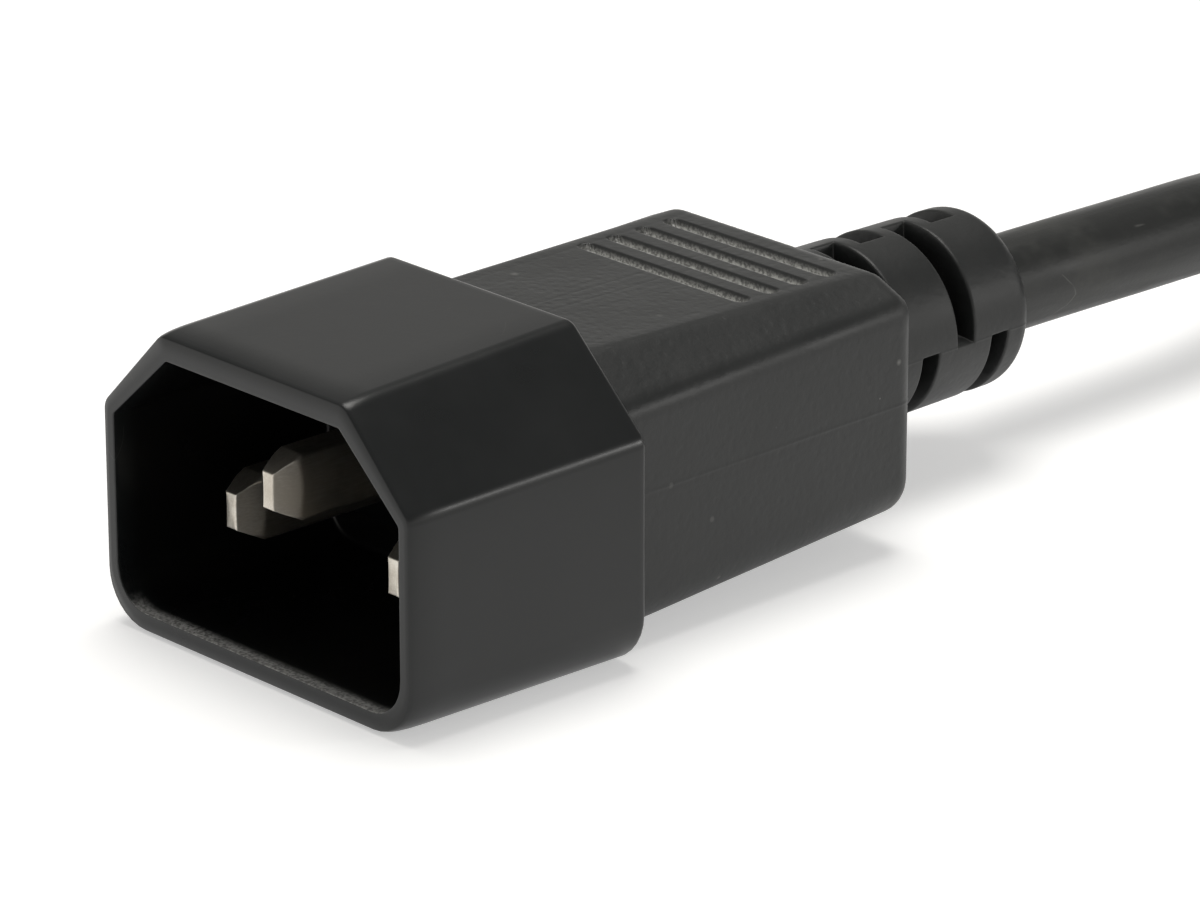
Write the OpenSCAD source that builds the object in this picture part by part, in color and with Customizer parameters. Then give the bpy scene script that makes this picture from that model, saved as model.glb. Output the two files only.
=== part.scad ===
// Moulded C14 plug on a one metre lead that ends in a C13 connector.
// The plug points to -Y and rests on z = 0; its lead leaves to +Y and is tied in a hank.

/* [Pins] */
// Distance between the line and neutral pins
pin_pitch = 14; // [13:0.25:15]
// Height of the earth pin above the other two
pin_rise = 4; // [3:0.25:5]
// Height of a pin's blade
pin_w = 4; // [3.5:0.1:4.5]
// Thickness of a pin's blade
pin_t = 2; // [1.6:0.1:2.4]
// Distance from the mouth back to the line and neutral tips
pin_setback = 4.2; // [3:0.1:6]
// How far the earth tip stands in front of the other two
earth_lead = 3.1; // [1:0.1:3.1]
// Length of a pin's tapered tip
tip_l = 2.4; // [1.5:0.1:3]
// Height of the flat on a pin's tip
tip_w = 2.5; // [1.5:0.1:3]
// Thickness of the flat on a pin's tip
tip_t = 0.8; // [0.6:0.1:1.4]
// Radius along a pin's long edges
pin_edge_r = 0.25; // [0.1:0.05:0.4]

/* [Shroud] */
// Inside width of the shroud
cavity_w = 24.5; // [24:0.1:25.5]
// Inside height of the shroud
cavity_h = 16.4; // [16:0.1:17.5]
// Inside depth of the shroud
cavity_d = 16; // [14:0.1:16.2]
// Width of the flat between the two bevelled corners inside the shroud
cavity_flat = 14.8; // [13:0.1:16]
// Height of a bevelled corner inside the shroud
cavity_bevel = 4.4; // [3:0.1:6]
// Radius of the two lower corners inside the shroud
cavity_r = 2.5; // [1.5:0.1:3.5]
// Wall of the shroud at its mouth
shroud_wall = 0.9; // [0.8:0.05:1.1]
// Length of the shroud
shroud_l = 17.3; // [17:0.1:20]
// How much wider each side is at the shroud's rear edge
side_draft = 0.56; // [0:0.02:0.8]
// How much higher the top is at the shroud's rear edge
top_draft = 1.3; // [0:0.05:1.5]
// How much taller the bevelled corners are at the shroud's rear edge
bevel_draft = 0.7; // [0:0.05:1]
// Rounding of the mouth's outer edge
mouth_r = 0.3; // [0.1:0.05:0.3]
// Rounding of the shroud's rear edge
shroud_rear_r = 0.35; // [0.1:0.05:0.6]
// Length of the stem that the grip is moulded round
stem_l = 4.5; // [3:0.5:5.5]
// Plastic round the outer pins in the stem
stem_wall = 1.4; // [1:0.1:1.6]

/* [Grip] */
// Length of the grip
grip_l = 24.5; // [23.5:0.5:30]
// Width of the grip where it meets the shroud
grip_front_w = 22.8; // [22.5:0.1:24]
// Width of the grip at its rear
grip_rear_w = 22.2; // [20:0.1:23]
// Height of the grip's underside where it meets the shroud
grip_front_low = 0.8; // [0.3:0.1:1.6]
// Height of the grip's underside at its rear
grip_rear_low = 2.2; // [1:0.1:2.6]
// Height of the grip's top where it meets the shroud
grip_front_top = 17.2; // [16.4:0.1:17.8]
// Height of the grip's top at its rear
grip_rear_top = 16.9; // [16.2:0.1:17.6]
// Width of the flat top where it meets the shroud
grip_front_flat = 14.6; // [12:0.1:17]
// Width of the flat top at the rear
grip_rear_flat = 16.6; // [13:0.1:18]
// Height of the bevel along the top where it meets the shroud
grip_front_bevel = 2.5; // [1:0.1:3.5]
// Height of the bevel along the top at the rear
grip_rear_bevel = 1.2; // [0.8:0.1:2.5]
// Radius of the grip's lower corners
grip_low_r = 2.4; // [1.6:0.1:3]
// Radius of the ridge between a side and its bevel
grip_ridge_r = 1.5; // [0.8:0.1:2]
// Radius between a bevel and the top
grip_top_r = 1.4; // [0.8:0.1:2]
// Rounding of the grip's rear edge
grip_rear_r = 1.4; // [0.5:0.1:1.8]
// Number of finger grooves across the top
groove_count = 4; // [1:1:5]
// Distance between finger grooves
groove_pitch = 2.35; // [2:0.05:3]
// Distance from the rear of the grip to the last groove
groove_rear = 3.1; // [2.6:0.1:5]
// Length of a finger groove
groove_l = 14; // [8:0.5:15]
// Width of a finger groove
groove_w = 1.1; // [0.6:0.1:1.5]
// Depth of a finger groove
groove_deep = 0.5; // [0.2:0.05:0.8]

/* [Strain relief] */
// Length of the strain relief
relief_l = 19.4; // [19:0.2:24]
// Radius of the strain relief where it leaves the grip
relief_root_r = 5.9; // [5.2:0.05:6.4]
// Radius of its collar at the far end
relief_end_r = 5.65; // [4.8:0.05:5.9]
// Length of the collar's rounded end
relief_round = 3.9; // [2:0.1:4.5]
// Number of slots along the relief
slot_count = 4; // [2:1:4]
// Distance between slots
slot_pitch = 3.05; // [2.8:0.05:3.2]
// Distance from the grip to the middle of the first slot
slot_first = 3.7; // [2.5:0.1:4.2]
// Width of a slot at the parting plane
slot_w = 1.4; // [1:0.1:1.6]
// How much wider an upper slot is at the top
slot_flare = 0.5; // [0:0.1:0.6]
// How far a slot runs past the middle
slot_past = 0.6; // [0:0.1:1.5]
// Skin left over the cord under a slot
slot_skin = 0.35; // [0.2:0.05:0.8]

/* [Cord and wires] */
// Diameter of the round cord
cord_d = 6.2; // [5.8:0.1:6.4]
// Height of the cord's axis where it leaves the plug
axis_z = 9.5; // [9:0.1:10]
// Length of the jacket that is held inside the grip
jacket_in = 2.8; // [2:0.1:4]
// Diameter of an insulated wire
wire_d = 2.3; // [2:0.1:2.4]
// Diameter of a wire's copper
copper_d = 1.2; // [0.9:0.1:1.4]
// Length of the crimp on the copper
crimp_l = 3.5; // [2.5:0.1:4]
// Length of the crimp on the insulation
support_l = 2.2; // [1.5:0.1:2.5]
// Sheet thickness of a crimp
crimp_wall = 0.4; // [0.3:0.05:0.5]

/* [Connector] */
// Gap all round between the connector's nose and the inside of a shroud
nose_gap = 0.25; // [0.15:0.05:0.4]
// Length of the nose
nose_l = 15.8; // [14:0.1:16]
// Rounding of the nose's front edge
nose_r = 0.3; // [0.1:0.05:0.5]
// Front wall of the nose, in front of the contacts
nose_wall = 1.2; // [0.8:0.1:1.6]
// Gap round a pin in the nose's three slots
slot_gap = 0.3; // [0.2:0.05:0.4]
// Length of a contact's sleeve
sleeve_l = 12; // [8:0.5:14]
// Sheet thickness of a contact
contact_wall = 0.45; // [0.3:0.05:0.6]
// Gap between a pin and a contact's sleeve
contact_gap = 0.25; // [0.1:0.05:0.3]
// Width of the open seam along a contact's sleeve
seam_w = 0.5; // [0.3:0.1:0.8]
// Length of the nose's stem inside the grip
nose_stem_l = 6; // [4:0.5:8]
// Plastic round the outer contacts in that stem
nose_stem_wall = 1.2; // [0.8:0.1:1.4]
// Length of the connector's grip
conn_l = 25; // [24.5:0.5:30]
// Width of the connector's grip at its shoulder
conn_w = 26.8; // [26:0.1:28]
// Height of the connector's grip at its shoulder
conn_h = 19; // [18.4:0.1:20]
// Width of the connector's grip at its rear
conn_rear_w = 22.2; // [20.5:0.1:24]
// Height of the connector's grip at its rear
conn_rear_h = 14.8; // [14.4:0.1:17]

/* [Hank] */
// Length of the hank's straight runs
run_l = 38; // [35:1:60]
// Radius of the inner turn's folds
fold_r = 18.6; // [18.6:0.1:22]
// Thickness of the strap round the runs
strap_t = 1; // [0.6:0.1:1.5]
// Width of the strap
strap_w = 10; // [6:1:12]
// Distance from the near end of the runs to the strap
strap_in = 3; // [1:0.5:5]

/* [Hidden] */
$fn = 48;

fit = 0.02;         // clearance between parts that seat in each other
e = 0.5;            // how far a cut runs past a face
arc_n = 8;          // steps in each rounded corner
fillet_n = 4;       // steps in each rounded edge
neck_l = 0.5;       // gap between a stem and the crimps behind it
shoulder_l = 0.3;   // closed front of the insulation crimp
throat_in = 0.5;    // ledge that the jacket's end seats on

cord_r = cord_d / 2;
wire_r = wire_d / 2;
copper_r = copper_d / 2;
lay_r = wire_d / sqrt(3);   // radius on which three touching wires lie

// Places along the plug, measured from the mouth, and along the connector, from its nose
grip_end = shroud_l + grip_l;
plug_l = grip_end + relief_l;
stem_end = shroud_l + stem_l;
jacket_y = grip_end - jacket_in;
conn_end = nose_l + conn_l;
conn_total = conn_end + relief_l;
nose_stem_end = nose_l + nose_stem_l;
conn_jacket_y = conn_end - jacket_in;
conn_axis = conn_h / 2;
mouth_y = -plug_l / 2;

// Heights and places of the three pins: left, right, earth
cavity_z = shroud_wall + cavity_h / 2;
function sites(z) = [
    [-pin_pitch / 2, z - pin_rise / 2],
    [pin_pitch / 2, z - pin_rise / 2],
    [0, z + pin_rise / 2]
];

// Sections: half width, low, high, half top flat, bevel height, then the
// radii of the lower corners, of the ridges and of the top corners
inner_r = 0.35;
cavity_s = [cavity_w / 2, shroud_wall, shroud_wall + cavity_h, cavity_flat / 2, cavity_bevel,
    cavity_r, inner_r, inner_r];
shroud_rear_s = cavity_s + [side_draft, 0, top_draft, 0, bevel_draft, 0, 0, 0];
grip_front_s = [grip_front_w / 2, grip_front_low, grip_front_top, grip_front_flat / 2,
    grip_front_bevel, grip_low_r, grip_ridge_r, grip_top_r];
grip_rear_s = [grip_rear_w / 2, grip_rear_low, grip_rear_top, grip_rear_flat / 2,
    grip_rear_bevel, grip_low_r, grip_ridge_r, grip_top_r];
conn_front_s = [conn_w / 2, 0, conn_h, cavity_flat / 2 + shroud_wall, cavity_bevel + shroud_wall,
    grip_low_r, grip_ridge_r, grip_top_r];
conn_rear_s = [conn_rear_w / 2, conn_axis - conn_rear_h / 2, conn_axis + conn_rear_h / 2,
    grip_rear_flat / 2, grip_rear_bevel, grip_low_r, grip_ridge_r, grip_top_r];
nose_s = cavity_s + [0, 1, 1, 0, 0, 0, 0, 0] * (conn_axis - cavity_z);

// The hank: two turns wide and two layers high
outer_r = fold_r + cord_d;
cross_r = (fold_r + outer_r) / 2;       // where the cord crosses between turns
hank_x = 12;
near_y = 102;
far_y = near_y + run_l;
left_x = hank_x - outer_r;
right_x = hank_x + outer_r;
layer_z = [strap_t + cord_r, strap_t + cord_r + cord_d];
hank_top = strap_t + 2 * cord_d;
conn_x = left_x + cord_r;               // over the middle of the left runs
conn_z = hank_top + conn_axis;

// The lead's free run, from the jacket's end in the grip to the hank
run_path = [
    [0, mouth_y + jacket_y, axis_z],
    [0, mouth_y + grip_end, axis_z],
    [0, mouth_y + plug_l, axis_z],
    [0, 36, 9.5],
    [0, 42, 9.35],
    [-0.2, 49, 9],
    [-1.3, 56, 8.2],
    [-3.4, 63, 6.9],
    [-6, 70, 5.5],
    [-8.7, 77, 4.5],
    [-10.9, 84, 4.1],
    [-12.2, 91, 4.1],
    [left_x, near_y - 3, layer_z[0]],
    [left_x, near_y, layer_z[0]]
];

// The lead's tail, which climbs from the hank's last run into the connector
tail_r = (right_x - conn_x) / 2;
tail_x = (right_x + conn_x) / 2;
tail_turn = 180 / 15;
tail_length = run_l + PI * tail_r;
function climb(s) = layer_z[1] + (conn_z - layer_z[1]) * (1 - cos(180 * s / tail_length)) / 2;
tail_path = concat(
    [[right_x, far_y, layer_z[1]], [right_x, far_y - fit, layer_z[1]]],
    [for (i = [1:3]) let (s = run_l * i / 4) [right_x, far_y - s, climb(s)]],
    [for (a = [0:tail_turn:180])
        [tail_x + tail_r * cos(a), near_y - tail_r * sin(a), climb(run_l + PI * tail_r * a / 180)]],
    [[conn_x, near_y + relief_l, conn_z], [conn_x, near_y + relief_l + jacket_in, conn_z]]
);

// ---- outlines and lofts ----

function turned(a) = [cos(a), sin(a)];
function heading(a, b) = atan2(b[1] - a[1], b[0] - a[0]);

function corners(s) = [
    [-s[0], s[1]], [s[0], s[1]], [s[0], s[2] - s[4]],
    [s[3], s[2]], [-s[3], s[2]], [-s[0], s[2] - s[4]]
];
function radii(s) = [s[5], s[5], s[6], s[7], s[7], s[6]];

// The outline of a section with its corners rounded, moved inwards by inset
function outline(s, inset = 0) = let (p = corners(s), r = radii(s)) [
    for (i = [0:5])
        let (
            a = heading(p[(i + 5) % 6], p[i]) - 90,
            turn = (heading(p[i], p[(i + 1) % 6]) - 90 - a + 720) % 360,
            n = turned(a) + turned(a + turn),
            c = p[i] - r[i] * n / (1 + turned(a) * turned(a + turn)))
        for (k = [0:arc_n]) c + max(r[i] - inset, 0.05) * turned(a + turn * k / arc_n)
];

// A solid through rings, each given as its y, its section and its inset
module loft(rings) {
    m = 6 * (arc_n + 1);
    n = len(rings);
    polyhedron(
        points = [for (g = rings) for (p = outline(g[1], g[2])) [p[0], g[0], p[1]]],
        faces = concat(
            [[for (i = [m - 1:-1:0]) i]],
            [for (j = [0:n - 2]) for (i = [0:m - 1]) let (k = (i + 1) % m)
                [j * m + i, j * m + k, (j + 1) * m + k, (j + 1) * m + i]],
            [[for (i = [0:m - 1]) (n - 1) * m + i]]));
}

// Rings from one section to another, with rounded edges at the front and the rear
function blend(y0, s0, y1, s1, r0, r1, grow = 0) = concat(
    [for (k = [0:fillet_n]) let (a = 90 * k / fillet_n)
        ring(y0 + r0 * (1 - cos(a)), y0, s0, y1, s1, r0 * (1 - sin(a)) - grow)],
    [for (k = [fillet_n:-1:0]) let (a = 90 * k / fillet_n)
        ring(y1 - r1 * (1 - cos(a)), y0, s0, y1, s1, r1 * (1 - sin(a)) - grow)]
);
function ring(y, y0, s0, y1, s1, inset) =
    let (t = (y - y0) / (y1 - y0)) [y, s0 * (1 - t) + s1 * t, inset];

// A round tube of radius r along a path that never points straight up
module sweep(path, r, sides) {
    n = len(path);
    along = [for (i = [0:n - 1]) unit(path[min(i + 1, n - 1)] - path[max(i - 1, 0)])];
    polyhedron(
        points = [for (i = [0:n - 1])
            let (side = unit(cross(along[i], [0, 0, 1])), up = cross(side, along[i]))
                for (k = [0:sides - 1]) let (a = 360 * (k + 0.5) / sides)
                    path[i] + r * (cos(a) * side + sin(a) * up)],
        faces = concat(
            [[for (k = [sides - 1:-1:0]) k]],
            [for (i = [0:n - 2]) for (k = [0:sides - 1]) let (m = (k + 1) % sides)
                [i * sides + k, i * sides + m, (i + 1) * sides + m, (i + 1) * sides + k]],
            [[for (k = [0:sides - 1]) (n - 1) * sides + k]]));
}
function unit(v) = v / norm(v);

module along_y(y0, y1, r) {
    translate([0, y0, 0]) rotate([-90, 0, 0]) cylinder(r = r, h = y1 - y0);
}

module block(half_x, y0, y1, z0, z1) {
    translate([-half_x, y0, z0]) cube([2 * half_x, y1 - y0, z1 - z0]);
}

module rounded_rect(w, h, r) {
    square([w - 2 * r, h], center = true);
    square([w, h - 2 * r], center = true);
    for (x = [-1, 1], z = [-1, 1]) translate([x * (w / 2 - r), z * (h / 2 - r)]) circle(r, $fn = 24);
}

// ---- metalwork ----

// Half-outline of a blade: its tapered tip and its straight shank
function blade_side(w, flat, y0, y1) = [
    [y0, -flat / 2], [y0 + tip_l, -w / 2], [y1, -w / 2],
    [y1, w / 2], [y0 + tip_l, w / 2], [y0, flat / 2]
];

module blade(y0, y1) {
    intersection() {
        translate([0, y0, 0]) rotate([-90, 0, 0]) linear_extrude(y1 - y0)
            rounded_rect(pin_t, pin_w, pin_edge_r);
        rotate([90, 0, 90]) linear_extrude(pin_t + e, center = true)
            polygon(blade_side(pin_w, tip_w, y0, y1));
        linear_extrude(pin_w + e, center = true) rotate(90) mirror([0, 1])
            polygon(blade_side(pin_t, tip_t, y0, y1));
    }
}

// Crimp barrels behind a stem: a narrow one on the copper, a wide one on the insulation
module crimps(stem_y) {
    copper_y = stem_y + neck_l;
    support_y = copper_y + crimp_l;
    difference() {
        union() {
            block(pin_t / 2, stem_y - e, copper_y + shoulder_l, -copper_r, copper_r);
            along_y(copper_y, support_y, copper_r + crimp_wall);
            along_y(support_y - shoulder_l, support_y + support_l, wire_r + crimp_wall);
        }
        along_y(copper_y, support_y + e, copper_r + fit);
        along_y(support_y, support_y + support_l + e, wire_r + fit);
    }
}

module pin(site, tip_y) {
    color("#c9c6bf") translate([site[0], mouth_y, site[1]]) {
        blade(tip_y, stem_end);
        crimps(stem_end);
    }
}

// A folded contact: an open sleeve with a seam, closed behind, and its crimps
sleeve_t = pin_t + 2 * (contact_gap + contact_wall);
sleeve_w = pin_w + 2 * (contact_gap + contact_wall);
module contact(site) {
    sleeve_y = nose_wall + fit;
    sleeve_end = sleeve_y + sleeve_l;
    color("#b9a36a") in_connector() translate([site[0], 0, site[1]]) {
        difference() {
            block(sleeve_t / 2, sleeve_y, sleeve_end, -sleeve_w / 2, sleeve_w / 2);
            block(sleeve_t / 2 - contact_wall, sleeve_y - e, sleeve_end - 2 * contact_wall,
                contact_wall - sleeve_w / 2, sleeve_w / 2 - contact_wall);
            block(seam_w / 2, sleeve_y - e, sleeve_end - 2 * contact_wall, 0, sleeve_w);
        }
        block(pin_t / 2, sleeve_end - contact_wall, nose_stem_end, -copper_r, copper_r);
        crimps(nose_stem_end);
    }
}

// ---- wires ----

module copper(site, stem_y) {
    color("#b87333") translate([site[0], 0, site[1]])
        along_y(stem_y + neck_l, stem_y + neck_l + crimp_l, copper_r);
}

// One insulated wire, from its crimp to its place in the lay of three
module wire(site, lay_angle, stem_y, end_y, z, shade) {
    start_y = stem_y + neck_l + crimp_l;
    free_y = start_y + support_l;
    goal = [lay_r * cos(lay_angle), z + lay_r * sin(lay_angle)];
    path = concat(
        [[site[0], start_y, site[1]]],
        [for (i = [0:8]) let (t = (1 - cos(22.5 * i)) / 2, p = site * (1 - t) + goal * t)
            [p[0], free_y + (end_y - e - free_y) * i / 8, p[1]]],
        [[goal[0], end_y, goal[1]]]);
    color(shade) sweep(path, wire_r, 10);
}

// ---- mouldings ----

// Strain relief, with its root inside the grip's rear
module relief(y, z) {
    bend_y = relief_l - relief_round;
    lip_r = cord_r + slot_skin;
    translate([0, y, z]) rotate([-90, 0, 0]) rotate_extrude()
        polygon(concat(
            [[0, -grip_rear_r], [relief_root_r, -grip_rear_r], [relief_root_r, 0]],
            [for (a = [0:10:90])
                [lip_r + (relief_end_r - lip_r) * cos(a), bend_y + relief_round * sin(a)]],
            [[0, relief_l]]));
}

// Slots a quarter turn long, upper right and lower left by turns with upper left and lower right
module relief_slots(y, z) {
    reach = relief_root_r + e;
    difference() {
        for (i = [0:slot_count - 1], half = [0, 1])
            translate([0, y + slot_first + i * slot_pitch, z])
                mirror([i % 2 == half ? 0 : 1, 0, 0]) mirror([0, 0, half])
                    translate([-slot_past, 0, 0]) rotate([90, 0, 90]) linear_extrude(reach + slot_past)
                        polygon(slot_side(reach, half == 0 ? slot_flare : 0));
        translate([0, 0, z]) along_y(y, y + relief_l, cord_r + slot_skin);
    }
}
function slot_side(h, flare) = [
    [-slot_w / 2, 0], [slot_w / 2, 0], [(slot_w + flare) / 2, h], [-(slot_w + flare) / 2, h]
];

// Room inside a grip: a pocket for the stem and crimps, a fan for the wires, a bore for the jacket
module hollow(half_x, stem_z, wall_z, y0, stem_y, jacket, y1, z) {
    pocket_end = stem_y + neck_l + crimp_l + support_l + neck_l;
    translate([0, 0, stem_z]) {
        block(half_x, y0 - e, pocket_end, -wall_z, wall_z);
        translate([0, 0, -pin_rise / 2 - wire_r - fit]) linear_extrude(pin_rise + 2 * (wire_r + fit))
            polygon([[-half_x, pocket_end - e], [half_x, pocket_end - e],
                [cord_r - throat_in, jacket], [throat_in - cord_r, jacket]]);
    }
    translate([0, 0, z]) along_y(jacket, y1 + e, cord_r);
}

stem_x = pin_pitch / 2 + pin_t / 2 + stem_wall;
stem_half_h = pin_rise / 2 + pin_w / 2 + stem_wall;

module plug_shroud() {
    color("#2e3031") translate([0, mouth_y, 0]) difference() {
        union() {
            loft(blend(0, cavity_s, shroud_l, shroud_rear_s, mouth_r, shroud_rear_r, shroud_wall));
            translate([0, 0, cavity_z])
                block(stem_x, shroud_l - e, stem_end, -stem_half_h, stem_half_h);
        }
        loft([[-e, cavity_s, 0], [cavity_d, cavity_s, 0]]);
        for (s = sites(cavity_z))
            translate([s[0], 0, s[1]])
                block(pin_t / 2 + fit, cavity_d - e, stem_end + e, -pin_w / 2 - fit, pin_w / 2 + fit);
    }
}

module grooves() {
    for (i = [0:groove_count - 1])
        translate([0, grip_end - groove_rear - i * groove_pitch, groove_floor(i)])
            linear_extrude(cavity_h) {
                square([groove_l - groove_w, groove_w], center = true);
                for (x = [-1, 1]) translate([x * (groove_l - groove_w) / 2, 0]) circle(d = groove_w);
            }
}
// The top falls towards the rear, and the grooves keep their depth in it
function groove_floor(i) =
    let (t = (groove_rear + i * groove_pitch) / grip_l)
        grip_rear_top * (1 - t) + grip_front_top * t - groove_deep;

module plug_grip() {
    color("#3a3b3a") translate([0, mouth_y, 0]) difference() {
        union() {
            loft(blend(shroud_l, grip_front_s, grip_end, grip_rear_s, 0.1, grip_rear_r));
            relief(grip_end, axis_z);
        }
        grooves();
        relief_slots(grip_end, axis_z);
        hollow(stem_x, cavity_z, stem_half_h, shroud_l, stem_end, jacket_y, plug_l, axis_z);
    }
}

nose_stem_x = pin_pitch / 2 + sleeve_t / 2 + nose_stem_wall;
nose_stem_half_h = pin_rise / 2 + sleeve_w / 2 + nose_stem_wall;

// The connector lies on the hank's left runs, with its nose towards +Y
module in_connector() {
    translate([conn_x, near_y + conn_total, hank_top]) rotate(180) children();
}

module connector_nose() {
    color("#303132") in_connector() difference() {
        union() {
            loft(blend(0, nose_s, nose_l, nose_s, nose_r, 0.1, -nose_gap));
            translate([0, 0, conn_axis])
                block(nose_stem_x, nose_l - e, nose_stem_end, -nose_stem_half_h, nose_stem_half_h);
        }
        for (s = sites(conn_axis)) translate([s[0], 0, s[1]]) {
            block(pin_t / 2 + slot_gap, -e, nose_wall + e, -pin_w / 2 - slot_gap, pin_w / 2 + slot_gap);
            block(sleeve_t / 2 + fit, nose_wall, nose_stem_end + e,
                -sleeve_w / 2 - fit, sleeve_w / 2 + fit);
        }
    }
}

module connector_grip() {
    color("#3a3b3a") in_connector() difference() {
        union() {
            loft(blend(nose_l, conn_front_s, conn_end, conn_rear_s, nose_r, grip_rear_r));
            relief(conn_end, conn_axis);
        }
        relief_slots(conn_end, conn_axis);
        hollow(nose_stem_x, conn_axis, nose_stem_half_h, nose_l, nose_stem_end, conn_jacket_y,
            conn_total, conn_axis);
    }
}

// ---- lead ----

module stadium(r) {
    for (y = [near_y, far_y]) translate([hank_x, y]) circle(r, $fn = 96);
    translate([hank_x - r, near_y]) square([2 * r, run_l]);
}

// One layer of the hank; where the cord crosses between turns, its near end lies off centre
module layer(shift) {
    difference() {
        union() {
            intersection() {
                stadium(outer_r + cord_r);
                translate([hank_x - 2 * outer_r, near_y]) square(4 * outer_r + run_l);
            }
            translate([hank_x + shift, near_y]) circle(cross_r + cord_r, $fn = 96);
        }
        stadium(fold_r - cord_r);
    }
}

module cord_hank() {
    color("#2c2d2d") {
        translate([0, 0, strap_t]) linear_extrude(cord_d) layer(cord_r);
        translate([0, 0, strap_t + cord_d]) linear_extrude(cord_d) difference() {
            layer(-cord_r);
            translate([right_x - cord_r, near_y - run_l]) square([cord_d + e, 2 * run_l]);
        }
    }
}

module hank_strap() {
    color("#161616") translate([left_x + cord_r, near_y + strap_in, strap_t + cord_d])
        rotate([-90, 0, 0]) linear_extrude(strap_w) difference() {
            rounded_rect(2 * (cord_d + strap_t), 2 * (cord_d + strap_t), strap_t);
            square(2 * cord_d, center = true);
        }
}

module in_plug() {
    translate([0, mouth_y, 0]) children();
}

plug_shroud();
plug_grip();
pin(sites(cavity_z)[0], pin_setback);  // pin_line
pin(sites(cavity_z)[1], pin_setback);  // pin_neutral
pin(sites(cavity_z)[2], pin_setback - earth_lead);  // pin_earth
in_plug() copper(sites(cavity_z)[0], stem_end);  // plug_copper_line
in_plug() copper(sites(cavity_z)[1], stem_end);  // plug_copper_neutral
in_plug() copper(sites(cavity_z)[2], stem_end);  // plug_copper_earth
in_plug() wire(sites(cavity_z)[0], 210, stem_end, jacket_y, axis_z, "#6b3f22");  // plug_wire_line
in_plug() wire(sites(cavity_z)[1], 330, stem_end, jacket_y, axis_z, "#2455a4");  // plug_wire_neutral
in_plug() wire(sites(cavity_z)[2], 90, stem_end, jacket_y, axis_z, "#8faf2c");  // plug_wire_earth
color("#2c2d2d") sweep(run_path, cord_r, 12);  // cord_run
cord_hank();
color("#2c2d2d") sweep(tail_path, cord_r, 12);  // cord_tail
hank_strap();
connector_nose();
connector_grip();
contact(sites(conn_axis)[1]);  // contact_line
contact(sites(conn_axis)[0]);  // contact_neutral
contact(sites(conn_axis)[2]);  // contact_earth
in_connector() copper(sites(conn_axis)[1], nose_stem_end);  // connector_copper_line
in_connector() copper(sites(conn_axis)[0], nose_stem_end);  // connector_copper_neutral
in_connector() copper(sites(conn_axis)[2], nose_stem_end);  // connector_copper_earth
in_connector() wire(sites(conn_axis)[1], 330, nose_stem_end, conn_jacket_y, conn_axis, "#6b3f22");  // connector_wire_line
in_connector() wire(sites(conn_axis)[0], 210, nose_stem_end, conn_jacket_y, conn_axis, "#2455a4");  // connector_wire_neutral
in_connector() wire(sites(conn_axis)[2], 90, nose_stem_end, conn_jacket_y, conn_axis, "#8faf2c");  // connector_wire_earth
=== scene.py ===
# A moulded appliance plug on its lead. The lead's far end is tied in a hank, with its connector on top.
import math

import bpy
import numpy as np
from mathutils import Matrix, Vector


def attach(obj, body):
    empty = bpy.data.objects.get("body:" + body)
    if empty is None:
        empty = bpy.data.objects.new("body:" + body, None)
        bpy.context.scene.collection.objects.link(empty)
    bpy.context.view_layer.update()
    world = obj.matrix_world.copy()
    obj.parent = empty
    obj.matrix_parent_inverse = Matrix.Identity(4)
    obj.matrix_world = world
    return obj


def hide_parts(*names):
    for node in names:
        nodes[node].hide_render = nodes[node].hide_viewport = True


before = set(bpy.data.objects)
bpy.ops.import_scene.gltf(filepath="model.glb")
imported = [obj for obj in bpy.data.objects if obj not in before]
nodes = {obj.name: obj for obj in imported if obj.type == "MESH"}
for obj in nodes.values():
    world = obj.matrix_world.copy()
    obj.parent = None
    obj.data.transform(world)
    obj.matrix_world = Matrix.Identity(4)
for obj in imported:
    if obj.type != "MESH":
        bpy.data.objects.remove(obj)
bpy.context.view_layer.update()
scene = bpy.context.scene
mm = 0.001
print("frame: loaded", len(nodes), "nodes")


cameraView = {
    "lens": 186.5,                        # on a sensor 36 mm wide
    "place": (248.96, -237.83, 135.9),    # mm
    "aim": (0, -4.03, 7.08),
}


def makeCamera(view):
    data = bpy.data.cameras.new("camera")
    data.lens, data.sensor_width = view["lens"], 36
    data.clip_start, data.clip_end = 0.01, 20
    camera = bpy.data.objects.new("camera", data)
    place, aim = Vector(view["place"]) * mm, Vector(view["aim"]) * mm
    camera.location = place
    camera.rotation_euler = (aim - place).to_track_quat("-Z", "Y").to_euler()
    scene.collection.objects.link(camera)
    scene.camera = camera


makeCamera(cameraView)
scene.view_settings.view_transform = "Standard"
print("camera: placed")


def ringFaces(count, around):
    # Each ring is joined to the next and round to itself; a fan to a point of its own closes either end.
    row, col = np.meshgrid(np.arange(count - 1) * around, np.arange(around), indexing="ij")
    after = (col + 1) % around
    quads = np.stack([row + col, row + around + col, row + around + after, row + after], -1)
    col, after = col[0], after[0]
    first, last = np.full(around, count * around), np.full(around, count * around + 1)
    rear = (count - 1) * around
    startFan = np.stack([first, col, after], -1)
    endFan = np.stack([last, rear + after, rear + col], -1)
    return quads.reshape(-1, 4).tolist() + startFan.tolist() + endFan.tolist()


def closedShell(rings, startPoint=None, endPoint=None):
    # Points and faces of a grid of rings; an end's point is the middle of its ring unless it is given.
    startPoint = rings[0].mean(0) if startPoint is None else startPoint
    endPoint = rings[-1].mean(0) if endPoint is None else endPoint
    points = np.concatenate([rings.reshape(-1, 3), [startPoint, endPoint]])
    return points, ringFaces(rings.shape[0], rings.shape[1])


def joinShells(*shells):
    points, faces, start = [], [], 0
    for shellPoints, shellFaces in shells:
        faces += [[corner + start for corner in face] for face in shellFaces]
        points.append(shellPoints)
        start += len(shellPoints)
    return np.concatenate(points), faces


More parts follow.
